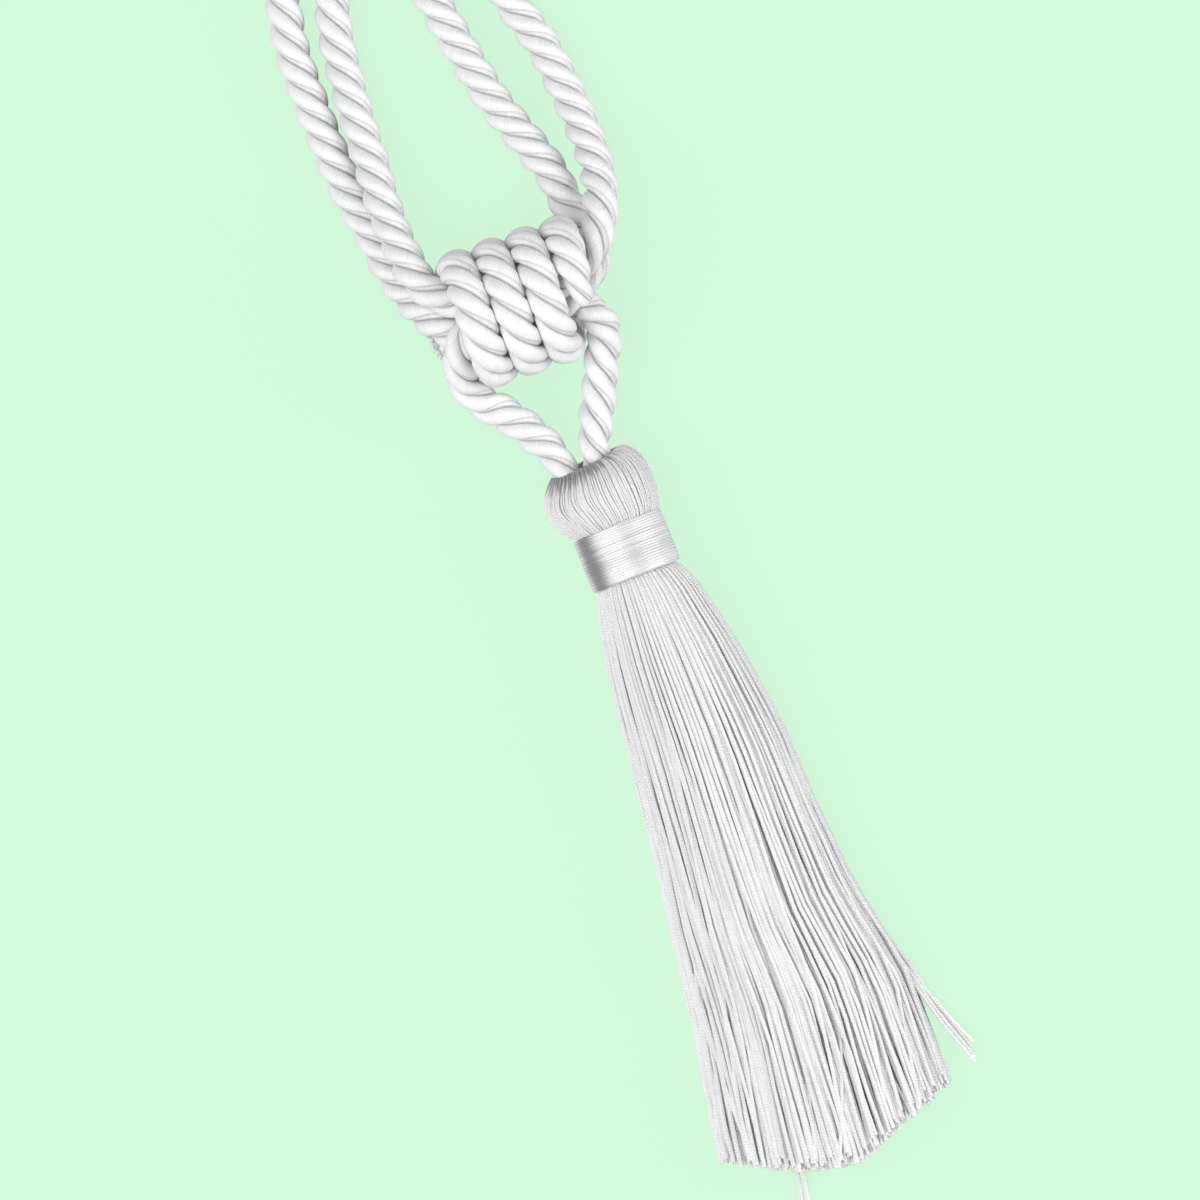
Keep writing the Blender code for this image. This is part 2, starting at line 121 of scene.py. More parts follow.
# %% Places along the hanger and the wrapping rope's free end
HANGER_LEFT = places(
    (-7.0, 16.6, 10.6, 0.85), (-7.8, 21.1, 10.6, 0.85), (-8.5, 24.6, 10.4, 0.88),
    (-10.4, 28.6, 10.0, 0.98), (-13.1, 33.0, 9.8), (-16.2, 37.2, 9.8), (-20.0, 41.2, 10.3),
    (-21.9, 45.6, 12.0, 0.98), (-21.7, 49.6, 16.0, 0.98), (-20.5, 53.2, 19.2, 0.93),
    (-18.1, 55.8, 19.8, 0.86))
HANGER_RIGHT = places(
    (7.6, 54.0, 17.6, 0.87), (9.8, 51.0, 15.6, 0.93), (10.4, 46.8, 13.0),
    (8.2, 41.9, 10.9), (6.2, 37.2, 9.9), (4.2, 32.8, 9.8), (2.2, 28.5, 10.0, 0.98),
    (0.5, 24.6, 10.4, 0.88), (-0.1, 21.1, 10.6, 0.85), (-0.5, 16.6, 10.6, 0.85))
FREE_END = places(
    (-25.4, 57.3, 3.75, 0.92), (-23.2, 57.7, 3.75, 0.92), (-20.6, 59.2, 3.85, 0.92),
    (-18.8, 61.4, 4.4, 0.92))

# %% [markdown]
# ## The barrel knot
#
# The wrapping rope winds a little over three times round the ropes that pass
# through, and its last turn thins as it dives under its neighbours.  A winding is
# easy to say with an angle and awkward to place by hand, so it is computed.  The
# ropes inside run close together round the knot's axis, which lies along X.

# %% Inside and round the knot
KNOT_CENTRE = Vector((-3.6, 58.4, 16.0)) * MM
CORE_RADIUS = 4.17 * MM
CORE_HALF = 10.0 * MM
CORE_SIZE = 0.85
WRAP_RADIUS = 12.2 * MM
WRAP_PITCH = 7.8 * MM
WRAP_START_X = -13.5 * MM
WRAP_LEAN = 1.1 * MM
WRAP_FIRST, WRAP_LAST, WRAP_TAPER = -60.0, 1196.0, 76.0
WRAP_DIVE = 2.0 * MM
WRAP_SIZE = 0.92
WRAP_THIN = 0.45                        # what is left of its size where it has dived
HALF_GAP = 0.15 * MM                    # the loops' ends meet in the middle
CORE_STEPS = 4


def core_pass(left_angle, right_angle, start_x, end_x):
    """Places of one rope through the knot, turning a little as it goes."""
    row = []
    for step in range(CORE_STEPS + 1):
        x = start_x + (end_x - start_x) * step / CORE_STEPS
        share = min(1.0, max(0.0, (x + CORE_HALF) / (2 * CORE_HALF)))
        turn = math.radians(left_angle + (right_angle - left_angle) * share)
        row.append(Place(KNOT_CENTRE.x + x,
                         KNOT_CENTRE.y + CORE_RADIUS * math.cos(turn),
                         KNOT_CENTRE.z + CORE_RADIUS * math.sin(turn), CORE_SIZE))
    return row


def wrap_place(angle):
    """A place on the winding; the angle is in degrees."""
    turn = math.radians(angle)
    thin = min(1.0, (WRAP_LAST - angle) / WRAP_TAPER)
    reach = WRAP_RADIUS - WRAP_DIVE * (1.0 - thin) ** 2
    x = WRAP_START_X + WRAP_PITCH * angle / 360 + WRAP_LEAN * math.cos(turn)
    return Place(KNOT_CENTRE.x + x,
                 KNOT_CENTRE.y + reach * math.cos(turn),
                 KNOT_CENTRE.z + reach * math.sin(turn),
                 WRAP_SIZE * (WRAP_THIN + (1.0 - WRAP_THIN) * math.sin(thin * math.pi / 2)))


def ring_places(loop, left_angle, right_angle):
    """A whole loop, from the middle of the knot round to the middle again."""
    return (core_pass(left_angle, right_angle, -HALF_GAP, -CORE_HALF) + loop
            + core_pass(left_angle, right_angle, CORE_HALF, HALF_GAP))


WRAP_STEPS = 126
winding = [wrap_place(WRAP_FIRST + (WRAP_LAST - WRAP_FIRST) * i / WRAP_STEPS)
           for i in range(WRAP_STEPS + 1)]
ROPE_PLACES = {
    "rope_loop_front": ring_places(FRONT_LOOP, 0, 30),
    "rope_loop_back": ring_places(BACK_LOOP, 240, 270),
    "rope_hanger": HANGER_LEFT + core_pass(120, 150, -CORE_HALF, CORE_HALF) + HANGER_RIGHT,
    "rope_wraps": FREE_END + winding,
}


# %% Even steps along a smooth curve
def smooth_curve(row, samples=16):
    """Reads a Catmull-Rom curve through the places, ends included."""
    padded = [row[0], *row, row[-1]]
    fine = []
    for a, b, c, d in zip(padded, padded[1:], padded[2:], padded[3:]):
        for step in range(samples):
            t = step / samples
            fine.append(Place(*(
                0.5 * (2 * q + (r - p) * t + (2 * p - 5 * q + 4 * r - s) * t * t
                       + (3 * q - p - 3 * r + s) * t ** 3)
                for p, q, r, s in zip(a, b, c, d))))
    return fine + [row[-1]]


def even_steps(fine, step):
    """The same curve again, with its places an even distance apart."""
    reached = [0.0]
    for here, there in zip(fine, fine[1:]):
        reached.append(reached[-1] + math.dist(here[:3], there[:3]))
    count = max(2, round(reached[-1] / step))
    even = []
    k = 0
    for i in range(count + 1):
        wanted = reached[-1] * i / count
        while k < len(fine) - 2 and reached[k + 1] < wanted:
            k += 1
        t = (wanted - reached[k]) / (reached[k + 1] - reached[k])
        even.append(Place(*(a + (b - a) * t for a, b in zip(fine[k], fine[k + 1]))))
    return even, reached[-1]


# %% [markdown]
# ## A draft for tubes
#
# Rope, yarn and thread are all tubes: rings of points, joined one to the next and
# closed at both ends.  Blender's curve bevel would make them too, but it can't give
# each ring its own outline or write the texture coordinates that the thread
# patterns need.  A small draft class collects rings and becomes a mesh at the end.

# %% Collecting tubes into one mesh
SHARP_ANGLE = math.radians(52)          # steeper edges, as in a rope's groove, stay sharp


class Draft:
    """The points, faces and texture coordinates of a piece in the making."""

    def __init__(self):
        self.points = []
        self.faces = []
        self.corners = []

    def tube(self, rings, across, along):
        """Joins rings into a closed tube; across has one value more than a ring."""
        first = len(self.points)
        size = len(rings[0])
        for ring in rings:
            self.points += ring
        for i in range(len(rings) - 1):
            low = first + i * size
            for k in range(size):
                nxt = (k + 1) % size
                self.faces.append((low + k, low + nxt, low + size + nxt, low + size + k))
                self.corners += [(across[k], along[i][k]), (across[k + 1], along[i][k + 1]),
                                 (across[k + 1], along[i + 1][k + 1]),
                                 (across[k], along[i + 1][k])]
        self.cap(first, size, (across[0], along[0][0]), backwards=True)
        self.cap(first + size * (len(rings) - 1), size, (across[0], along[-1][0]))

    def cap(self, first, size, corner, backwards=False):
        """Closes an end with a fan about its middle."""
        ring = self.points[first:first + size]
        middle = len(self.points)
        self.points.append(sum(ring, Vector()) / size)
        for k in range(size):
            pair = (first + k, first + (k + 1) % size)
            self.faces.append((*(pair[::-1] if backwards else pair), middle))
            self.corners += [corner] * 3

    def finish(self, name, material, slot):
        """Makes the piece, smooth between its sharp edges, and lets it ride."""
        mesh = bpy.data.meshes.new(name)
        mesh.from_pydata(self.points, [], self.faces)
        layer = mesh.uv_layers.new(name="threads")
        layer.uv.foreach_set("vector", [v for corner in self.corners for v in corner])
        mesh.polygons.foreach_set("use_smooth", [True] * len(mesh.polygons))
        mesh.set_sharp_from_angle(angle=SHARP_ANGLE)
        mesh.materials.append(material)
        made = bpy.data.objects.new(name, mesh)
        bpy.context.scene.collection.objects.link(made)
        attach(made, "root")
        print(f"{name}: {sum(len(f) - 2 for f in self.faces)} triangles")
        return made


def frames_along(row):
    """Two directions square to the curve at each place, without needless twist."""
    spots = [Vector(p[:3]) for p in row]
    frames = []
    side = None
    for i in range(len(spots)):
        ahead = (spots[min(i + 1, len(spots) - 1)] - spots[max(i - 1, 0)]).normalized()
        if side is None:
            side = ahead.orthogonal()
        side = (side - ahead * side.dot(ahead)).normalized()
        frames.append((spots[i], side.copy(), ahead.cross(side)))
    return frames


# %% [markdown]
# ## How satin thread takes the light
#
# Rope, yarn and band are all covered in fine threads lying side by side.  What
# differs is only how wide the threads are, how they slant and how even they lie.
# So one shader node group makes the thread pattern, a second the painted shade of
# a groove, and each material places them with its own values.  Image
# textures could show threads too, but they would stretch along a bent rope.

# %% Helpers for shader nodes
def new_group(name, inputs, outputs):
    """A shader node group with named sockets, and its own two ends."""
    group = bpy.data.node_groups.new(name, "ShaderNodeTree")
    for label, value in inputs.items():
        socket = group.interface.new_socket(label, in_out="INPUT", socket_type="NodeSocketFloat")
        socket.default_value = value
    for label in outputs:
        group.interface.new_socket(label, in_out="OUTPUT", socket_type="NodeSocketFloat")
    return group, group.nodes.new("NodeGroupInput"), group.nodes.new("NodeGroupOutput")


def maths(tree, operation, *values, clamp=False):
    """A Math node; each value is a number or another node's output."""
    made = tree.nodes.new("ShaderNodeMath")
    made.operation = operation
    made.use_clamp = clamp
    for socket, value in zip(made.inputs, values):
        if isinstance(value, (int, float)):
            socket.default_value = value
        else:
            tree.links.new(value, socket)
    return made.outputs[0]


def ramp(tree, value, low, high, out_low=0.0, out_high=1.0):
    """Carries a value smoothly from one range to another."""
    made = tree.nodes.new("ShaderNodeMapRange")
    made.interpolation_type = "SMOOTHSTEP"
    tree.links.new(value, made.inputs["Value"])
    for label, number in (("From Min", low), ("From Max", high),
                          ("To Min", out_low), ("To Max", out_high)):
        if isinstance(number, (int, float)):
            made.inputs[label].default_value = number
        else:
            tree.links.new(number, made.inputs[label])
    return made.outputs["Result"]


# %% The threads that lie side by side
WANDER_SCALE = 6.0                      # the noise that makes the threads lie uneven
WANDER_ALONG = 90.0                     # from metres along to the noise's own length

threads_group, into, out_of = new_group(
    "threads_side_by_side",
    {"Across": 0.0, "Along": 0.0, "Thread Width": 0.0004, "Slant": 0.0, "Unevenness": 0.3},
    ("Height", "Tone"))
wander = threads_group.nodes.new("ShaderNodeTexNoise")
wander.inputs["Scale"].default_value = WANDER_SCALE
wander.inputs["Detail"].default_value = 2.0
spot = threads_group.nodes.new("ShaderNodeCombineXYZ")
threads_group.links.new(into.outputs["Across"], spot.inputs[0])
threads_group.links.new(maths(threads_group, "MULTIPLY", into.outputs["Along"], WANDER_ALONG),
                        spot.inputs[1])
threads_group.links.new(spot.outputs[0], wander.inputs["Vector"])
count = maths(threads_group, "DIVIDE", into.outputs["Along"], into.outputs["Thread Width"])
slanted = maths(threads_group, "MULTIPLY", into.outputs["Across"], into.outputs["Slant"])
count = maths(threads_group, "ADD", count, slanted)
shift = maths(threads_group, "MULTIPLY", wander.outputs["Fac"], into.outputs["Unevenness"])
count = maths(threads_group, "ADD", count, shift)
wave = maths(threads_group, "SINE", maths(threads_group, "MULTIPLY", count, math.pi))
threads_group.links.new(maths(threads_group, "ABSOLUTE", wave), out_of.inputs["Height"])
dice = threads_group.nodes.new("ShaderNodeTexWhiteNoise")
dice.noise_dimensions = "1D"
threads_group.links.new(maths(threads_group, "FLOOR", count), dice.inputs["W"])
threads_group.links.new(dice.outputs["Value"], out_of.inputs["Tone"])

# %% Painted shade between two plies
groove_group, into, out_of = new_group(
    "groove_painted_shade", {"Across": 0.0, "Start": 0.75, "Depth": 0.2}, ("Mask",))
centred = maths(groove_group, "SUBTRACT",
                maths(groove_group, "FRACT", into.outputs["Across"]), 0.5)
edge = maths(groove_group, "MULTIPLY", maths(groove_group, "ABSOLUTE", centred), 2.0)
mask = ramp(groove_group, edge, into.outputs["Start"], 1.0)
groove_group.links.new(maths(groove_group, "MULTIPLY", mask, into.outputs["Depth"]),
                       out_of.inputs["Mask"])


# %% Placing groups in a material
def satin_material(name, colour, dark, **constants):
    """A Principled material whose colour runs from dark to colour by a mask."""
    made = bpy.data.materials.new(name)
    made.use_nodes = True
    tree = made.node_tree
    shader = tree.nodes["Principled BSDF"]
    for label, value in constants.items():
        shader.inputs[label.replace("_", " ")].default_value = value
    mix = tree.nodes.new("ShaderNodeMix")
    mix.data_type = "RGBA"
    mix.inputs["A"].default_value = (*dark, 1.0)
    mix.inputs["B"].default_value = (*colour, 1.0)
    tree.links.new(mix.outputs["Result"], shader.inputs["Base Color"])
    uv = tree.nodes.new("ShaderNodeUVMap")
    uv.uv_map = "threads"
    parts = tree.nodes.new("ShaderNodeSeparateXYZ")
    tree.links.new(uv.outputs["UV"], parts.inputs[0])
    return made, tree, shader, mix.inputs["Factor"], parts.outputs[0], parts.outputs[1]


def place_group(tree, group, across, along=None, **values):
    """Puts a group into a material, with its own values."""
    made = tree.nodes.new("ShaderNodeGroup")
    made.node_tree = group
    tree.links.new(across, made.inputs["Across"])
    if along is not None:
        tree.links.new(along, made.inputs["Along"])
    for label, value in values.items():
        made.inputs[label.replace("_", " ")].default_value = value
    return made.outputs


def bump(tree, shader, height, distance, strength=1.0):
    """Raises fine threads in a material, by a distance in metres."""
    made = tree.nodes.new("ShaderNodeBump")
    made.inputs["Distance"].default_value = distance
    made.inputs["Strength"].default_value = strength
    tree.links.new(height, made.inputs["Height"])
    tree.links.new(made.outputs["Normal"], shader.inputs["Normal"])


# %% [markdown]
# ## Rope satin
#
# Each ply is a soft core with a skin of shiny rayon thread wound nearly square
# across it, two threads to the millimetre.  The skin shows as very fine ribs, with
# painted shade between the threads, and every thread takes the light a little
# differently.  Between two plies the groove's shade is painted in as a crisp dark
# line in a soft one, and a faint streak of sheen beside it is painted into the
# colour too, so it stays there from every angle; an attribute says on which side of
# the ply it is.

# %% The rope's material
CREST = 0.7                             # above this height a thread is at its lightest
THREAD_WIDTH = 0.5 * MM
STREAK_OFFSET = 0.30                    # from the crest, as a share of the ply
STREAK_HALF = 0.08
STREAK_DEPTH = 0.55
ROPE_TONES = (0.86, 0.96)               # from the darkest thread to the lightest
ROPE_SHADE = (-0.30, 0.06)              # from between two threads to a thread's top
ROPE_ROUGHNESS = (0.30, 0.38)

rope_satin, tree, shader, factor, across, along = satin_material(
    "rope_satin", (0.885, 0.885, 0.89), (0.48, 0.48, 0.495),
    Roughness=0.3, Specular_IOR_Level=0.65, Sheen_Weight=0.15, Sheen_Roughness=0.35)
threads = place_group(tree, threads_group, across, along,
                      Thread_Width=THREAD_WIDTH, Slant=0.0, Unevenness=0.8)
# Painted shade of the groove between two plies: a soft band and a crisp dark line.
groove = place_group(tree, groove_group, across, Start=0.4, Depth=0.12)
line = place_group(tree, groove_group, across, Start=0.80, Depth=0.9)
# The painted streak of sheen beside the groove, on the side that the attribute gives.
side = tree.nodes.new("ShaderNodeAttribute")
side.attribute_name = "streak_side"
side = side.outputs["Fac"]
middle = maths(tree, "MULTIPLY_ADD", side, STREAK_OFFSET, 0.5)
away = maths(tree, "ABSOLUTE", maths(tree, "SUBTRACT", maths(tree, "FRACT", across), middle))
streak = maths(tree, "MULTIPLY", maths(tree, "ABSOLUTE", side),
               ramp(tree, away, 0.0, STREAK_HALF, STREAK_DEPTH, 0.0))
lift = ramp(tree, threads["Tone"], 0.0, 1.0, *ROPE_TONES)
lift = maths(tree, "ADD", lift, ramp(tree, threads["Height"], 0.0, CREST, *ROPE_SHADE))
lift = maths(tree, "SUBTRACT", lift, maths(tree, "ADD", groove["Mask"], line["Mask"]))
tree.links.new(maths(tree, "SUBTRACT", lift, streak, clamp=True), factor)
tree.links.new(ramp(tree, threads["Tone"], 0.0, 1.0, *ROPE_ROUGHNESS),
               shader.inputs["Roughness"])
bump(tree, shader, threads["Height"], 0.08 * MM, 0.8)

# %% [markdown]
# ## Three plies in one skin
#
# The rope's section is three lobes with deep, sharp valleys.  Three separate
# tubes would run through each other all the way, so the three lobes are drawn as
# one outline, which turns once to the left in 18.3 mm.  The turning makes the
# plies.  Each lobe is an ellipse cut off where it meets its neighbour.

# %% The outline of the rope
PLIES = 3
LAY = 18.3 * MM
PLY_OFFSET = 1.95 * MM
PLY_DEEP = 2.15 * MM
PLY_WIDE = 2.3 * MM
LOBE_STEPS = 14
ROPE_STEP = 0.8 * MM
TOUCH = 0.02 * MM                       # the lowest that anything lies
PLY_PATH = 1.66                         # a ply's crest is this much longer than the rope
THREAD_LEAN = 3.1 * MM                  # how far the threads climb for each radian
SEARCH_STEP = 0.001                     # in radians, for the place where two lobes meet


def lobe_place(turn):
    """Radius and angle, from the rope's middle, of a place on one ply's ellipse."""
    x = PLY_OFFSET + PLY_DEEP * math.cos(turn)
    y = PLY_WIDE * math.sin(turn)
    return math.hypot(x, y), math.atan2(y, x)


def lobe_edge():
    """The turn on the ellipse where a lobe meets the next one."""
    turn = math.pi / 2
    while lobe_place(turn)[1] < math.pi / PLIES:
        turn += SEARCH_STEP
    return turn


def lobe():
    """Radius and angle of the places across one ply, groove to groove."""
    last = lobe_edge()
    return [lobe_place(last * (2 * k / LOBE_STEPS - 1)) for k in range(LOBE_STEPS)]


LOBE = lobe()
print(f"the grooves are {(PLY_OFFSET + PLY_DEEP - LOBE[0][0]) / MM:.1f} mm deep")


# %% [markdown]
# ## Pressed turns
#
# The turns of the knot are pulled tight, so each is pressed wide until it lies flat
# against the next.  Widening alone would push one turn into another, so each is
# stopped halfway to its neighbour.  The first turn is free on the left, and the
# last one is less wide on the right, where the back loop passes.

# %% Turns that lie against each other
WRAP_WIDEN = 1.19
LAST_WIDEN = 1.10
TURN_GAP = 0.03 * MM                    # each turn stops this far from halfway
PRESSED_HALF = WRAP_PITCH / 2 - TURN_GAP
FREE_HALF = 4.5 * MM
EASE = 40.0                             # degrees in which one gives way to the other


def blend_in(value, low, high):
    """0 below low, 1 above high, and a straight rise between."""
    return min(1.0, max(0.0, (value - low) / (high - low)))


def pressed_reach(place, x):
    """How far a point of the wrapping rope is to the side, once it is pressed."""
    y, z = place.y - KNOT_CENTRE.y, place.z - KNOT_CENTRE.z
    lean = WRAP_LEAN * y / math.hypot(y, z)
    angle = 360 * (place.x - KNOT_CENTRE.x - WRAP_START_X - lean) / WRAP_PITCH
    if x < 0.0:
        first = WRAP_FIRST + 360 - 2 * EASE
        held = blend_in(angle, first, first + EASE)
        return max(WRAP_WIDEN * x, -FREE_HALF - (PRESSED_HALF - FREE_HALF) * held)
    last = WRAP_LAST - 360
    free = blend_in(angle, last, last + EASE)
    widen = WRAP_WIDEN + (LAST_WIDEN - WRAP_WIDEN) * free
    return min(widen * x, PRESSED_HALF + (FREE_HALF - PRESSED_HALF) * free)


# %% A length of rope
STREAK_GAIN = 1.6                       # the streak is full before the rope runs along Y


def rope_rings(row, first_turn, pressed):
    """Rings of three lobes round the curve, each turned a little further."""
    rings = []
    length = 0.0
    for i, (spot, side, up) in enumerate(frames_along(row)):
        if i:
            length += math.dist(row[i - 1][:3], row[i][:3])
        lay = first_turn - 2 * math.pi * length / LAY
        ring = []
        for ply in range(PLIES):
            for radius, offset in LOBE:
                turn = lay + 2 * math.pi * ply / PLIES + offset
                reach = radius * row[i].size
                out = reach * (math.cos(turn) * side + math.sin(turn) * up)
                if pressed:
                    out.x = pressed_reach(row[i], out.x)
                ring.append(spot + out)
                ring[-1].z = max(ring[-1].z, TOUCH)
        rings.append(ring)
    return rings


def rope_coordinates(rings, step):
    """Across each ply from 0 to 1, and square to the threads in metres."""
    size = PLIES * LOBE_STEPS
    across = [k / LOBE_STEPS for k in range(size + 1)]
    turns = [LOBE[k % LOBE_STEPS][1] + 2 * math.pi * (k // LOBE_STEPS) / PLIES
             for k in range(size + 1)]
    along = [[PLY_PATH * i * step - THREAD_LEAN * turn for turn in turns]
             for i in range(len(rings))]
    return across, along


def mark_streaks(made, row):
    """Writes the side of the ply that the streak is on: where the rope runs
    towards -Y it is after the crest, where it runs towards +Y before it."""
    values = []
    for i in range(len(row)):
        here, there = (Vector(row[k][:3]) for k in (max(i - 1, 0), min(i + 1, len(row) - 1)))
        side = -STREAK_GAIN * (there - here).normalized().y
        values += [min(1.0, max(-1.0, side))] * (PLIES * LOBE_STEPS)
    values += [0.0, 0.0]                # the middles of the two ends
    layer = made.data.attributes.new("streak_side", "FLOAT", "POINT")
    layer.data.foreach_set("value", values)


def rope(name, first_turn, pressed=False):
    """One length of rope at its real size, over its hidden solid."""
    row, measured = even_steps(smooth_curve(ROPE_PLACES[name]), ROPE_STEP)
    rings = rope_rings(row, first_turn, pressed)
    draft = Draft()
    draft.tube(rings, *rope_coordinates(rings, ROPE_STEP))
    made = draft.finish(name + "_plies", rope_satin, "rope_satin")
    mark_streaks(made, row)
    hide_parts(name)
    print(f"{name}: {measured:.3f} m")
    return made


rope("rope_loop_front", 0.0)
rope("rope_loop_back", 0.8)
rope("rope_hanger", 0.4)
rope("rope_wraps", 0.0, pressed=True)

# %% [markdown]
# ## The tassel's axis and its skirt
#
# The tassel is one thick bundle of rayon yarn: tied at the top, folded down over
# itself as the head, bound by the band and spread as the skirt.  Below, a bundle
# of radius 1 is carried into the skirt as it really lies, from section to section.

# %% The lying skirt
NECK_LIFT = Vector((0.0, 0.0, 9.7 * MM))
NECK_TURN = Matrix.Rotation(math.radians(3.4), 3, "Z")
BAND_HALF = 6.1 * MM

Section = namedtuple("Section", "y left right height base flat")
SKIRT = [Section(*(v * MM for v in row[:5]), row[5]) for row in (
    (4.0, -8.4, 7.9, 16.4, 1.5, 0.0),
    (-5.8, -8.1, 8.7, 16.8, 1.3, 0.0),
    (-6.8, -9.3, 10.2, 18.8, 0.35, 0.1),
    (-11.0, -10.4, 12.3, 19.0, 0.35, 0.3),
    (-26.5, -13.0, 16.8, 19.2, 0.35, 0.7),
    (-46.5, -14.5, 20.4, 19.0, 0.35, 1.0),
    (-66.0, -16.1, 22.0, 18.4, 0.35, 1.0),
    (-85.5, -18.0, 24.0, 17.6, 0.35, 1.0),
    (-96.0, -18.8, 26.6, 17.0, 0.35, 1.0),
    (-106.0, -19.9, 29.2, 16.5, 0.35, 1.0),
    (-134.5, -23.6, 30.2, 15.3, 0.35, 1.0),
    (-156.0, -26.8, 31.1, 14.8, 0.35, 1.0))]


def section_at(y):
    """The skirt's section at this distance down it."""
    for above, below in zip(SKIRT, SKIRT[1:]):
        if y >= below.y:
            break
    t = (y - above.y) / (below.y - above.y)
    return Section(*(a + (b - a) * t for a, b in zip(above, below)))


def skirt_point(across, up, y):
    """Carries a place in a straight bundle of radius 1 into the lying skirt."""
    at = section_at(y)
    edge = math.sqrt(max(0.0, 1.0 - across * across))
    underside = (1.0 - at.flat) + at.flat * edge
    return Vector(((at.left + at.right) / 2 + across * (at.right - at.left) / 2, y,
                   at.base + at.height / 2 * (up + underside)))


# The cut: where its corners are across the skirt, and how far down.
CUT = ((-1.0, -134.2), (-0.37, -141.2), (0.1, -143.7), (0.42, -139.6), (1.0, -133.8))


def cut_y(across):
    """Where the scissors cut the skirt, read between the corners of the cut."""
    for (here, low), (there, high) in zip(CUT, CUT[1:]):
        if across <= there:
            break
    return MM * (low + (high - low) * (across - here) / (there - here))


# %% [markdown]
# ## Yarn
#
# Tassel yarn is a loose bundle of rayon filaments with hardly any twist.  Each
# yarn is a tube of six sides.  A number for each yarn travels in its texture
# coordinates, so the material can make every yarn a touch lighter or darker.  The
# yarns of the head count their length from below zero, and that tells the material
# where they fold in to the crease and get painted shade.

# %% The yarn's material
HEAD_FIRST = -60.0 * MM                 # where the head's yarns begin to count
# The fold's painted shade: where it begins, over what length, how unevenly and how deep.
FOLD_START = HEAD_FIRST + 19.2 * MM
FOLD_LENGTH = 2.6 * MM                  # over which the painted shade deepens
FOLD_RAGGED = 3.4 * MM                  # how unevenly it begins
FOLD_PAINTED_SHADE = 0.95
YARN_THREAD_WIDTH = 0.7 * MM
YARN_TONES = (0.91, 1.0)                # from the darkest yarn to the lightest
PATCH_TONES = (-0.06, 0.01)
YARN_SHADE = (-0.25, 0.02)
YARN_ROUGHNESS = (0.46, 0.32)

tassel_yarn, tree, shader, factor, across, along = satin_material(
    "tassel_yarn", (0.85, 0.85, 0.855), (0.36, 0.36, 0.37),
    Roughness=0.4, Specular_IOR_Level=0.5, Sheen_Weight=0.15, Sheen_Roughness=0.4)
number = maths(tree, "FLOOR", across)
dice = tree.nodes.new("ShaderNodeTexWhiteNoise")
dice.noise_dimensions = "1D"
tree.links.new(number, dice.inputs["W"])
threads = place_group(tree, threads_group, across, along,
                      Thread_Width=YARN_THREAD_WIDTH, Slant=2.0, Unevenness=1.5)
tone = ramp(tree, dice.outputs["Value"], 0.0, 1.0, *YARN_TONES)
patch = ramp(tree, threads["Tone"], 0.0, 1.0, *PATCH_TONES)
fine = ramp(tree, threads["Height"], 0.0, CREST, *YARN_SHADE)
tone = maths(tree, "ADD", maths(tree, "ADD", tone, patch), fine)
# Painted shade where the head's yarns fold in to the crease, beginning raggedly yarn by yarn.
folded = maths(tree, "MULTIPLY_ADD", dice.outputs["Value"], FOLD_RAGGED, along)
grey = ramp(tree, folded, FOLD_START, FOLD_START + FOLD_LENGTH, 0.0, FOLD_PAINTED_SHADE)
grey = maths(tree, "MULTIPLY", grey, maths(tree, "LESS_THAN", along, 0.0))
tree.links.new(maths(tree, "SUBTRACT", tone, grey, clamp=True), factor)
tree.links.new(ramp(tree, dice.outputs["Value"], 0.0, 1.0, *YARN_ROUGHNESS),
               shader.inputs["Roughness"])
bump(tree, shader, threads["Height"], 0.09 * MM, 0.8)


# %% A yarn along any path
YARN_SIDES = 6
MARGIN = 0.02                           # between the coordinates of two yarns


def add_yarn(draft, spots, radii, number, first=0.0):
    """One yarn: a thin tube through the spots, with its number in its texture."""
    row = [Place(*spot, radius) for spot, radius in zip(spots, radii)]
    rings = []
    along = []
    length = first
    for i, (spot, side, up) in enumerate(frames_along(row)):
        if i:
            length += (spots[i] - spots[i - 1]).length
        rings.append([spot + row[i].size * (math.cos(turn) * side + math.sin(turn) * up)
                      for turn in (2 * math.pi * k / YARN_SIDES for k in range(YARN_SIDES))])
        along.append([length] * (YARN_SIDES + 1))
    across = [number + MARGIN + (1.0 - 2 * MARGIN) * k / YARN_SIDES
              for k in range(YARN_SIDES + 1)]
    draft.tube(rings, across, along)


# %% Where the skirt's yarns go
YARNS = 950
YARN_FILL = 1.0                         # how much of the skirt's section is yarn
NECK_STATIONS = [v * MM for v in (4.0, -2.0, -5.7, -6.7, -8.5, -11.5, -15.5)]
FREE_STATIONS = 14
CLUMPS = 80
SEED = 11
GOLDEN = math.pi * (3.0 - math.sqrt(5.0))
CLUMP_UNEVEN = 0.03
PULL = 0.4                              # how far at most a yarn goes towards its clump
WAVES = (2.0, 5.0)                      # of a yarn, from neck to cut
SWAY = (0.1, 0.4)                       # how far it sways, in millimetres
END_THICKNESS = (0.9, 1.2)
CUT_UNEVEN = (-1.2, 2.0)                # how far short of the cut a yarn ends, in mm
CUT_SLOPE = 1.2                         # and how much shorter it is if it lies on top
CLEARANCE = 1.2                         # a yarn's middle is this many radii up or more

# How a yarn drifts in the bundle: how far its end goes, how late on the way, and how
# much it rises if it lies on top.  The weights say how often each kind comes.
Drift = namedtuple("Drift", "spread late lift")
STRAIGHT = Drift(0.0, 1.0, 0.0)
DRIFTS = [Drift(0.05, 1.5, 0.0), Drift(0.18, 1.2, 0.35 * MM), Drift(0.32, 3.0, 0.35 * MM)]
DRIFT_WEIGHTS = (8, 4, 3)

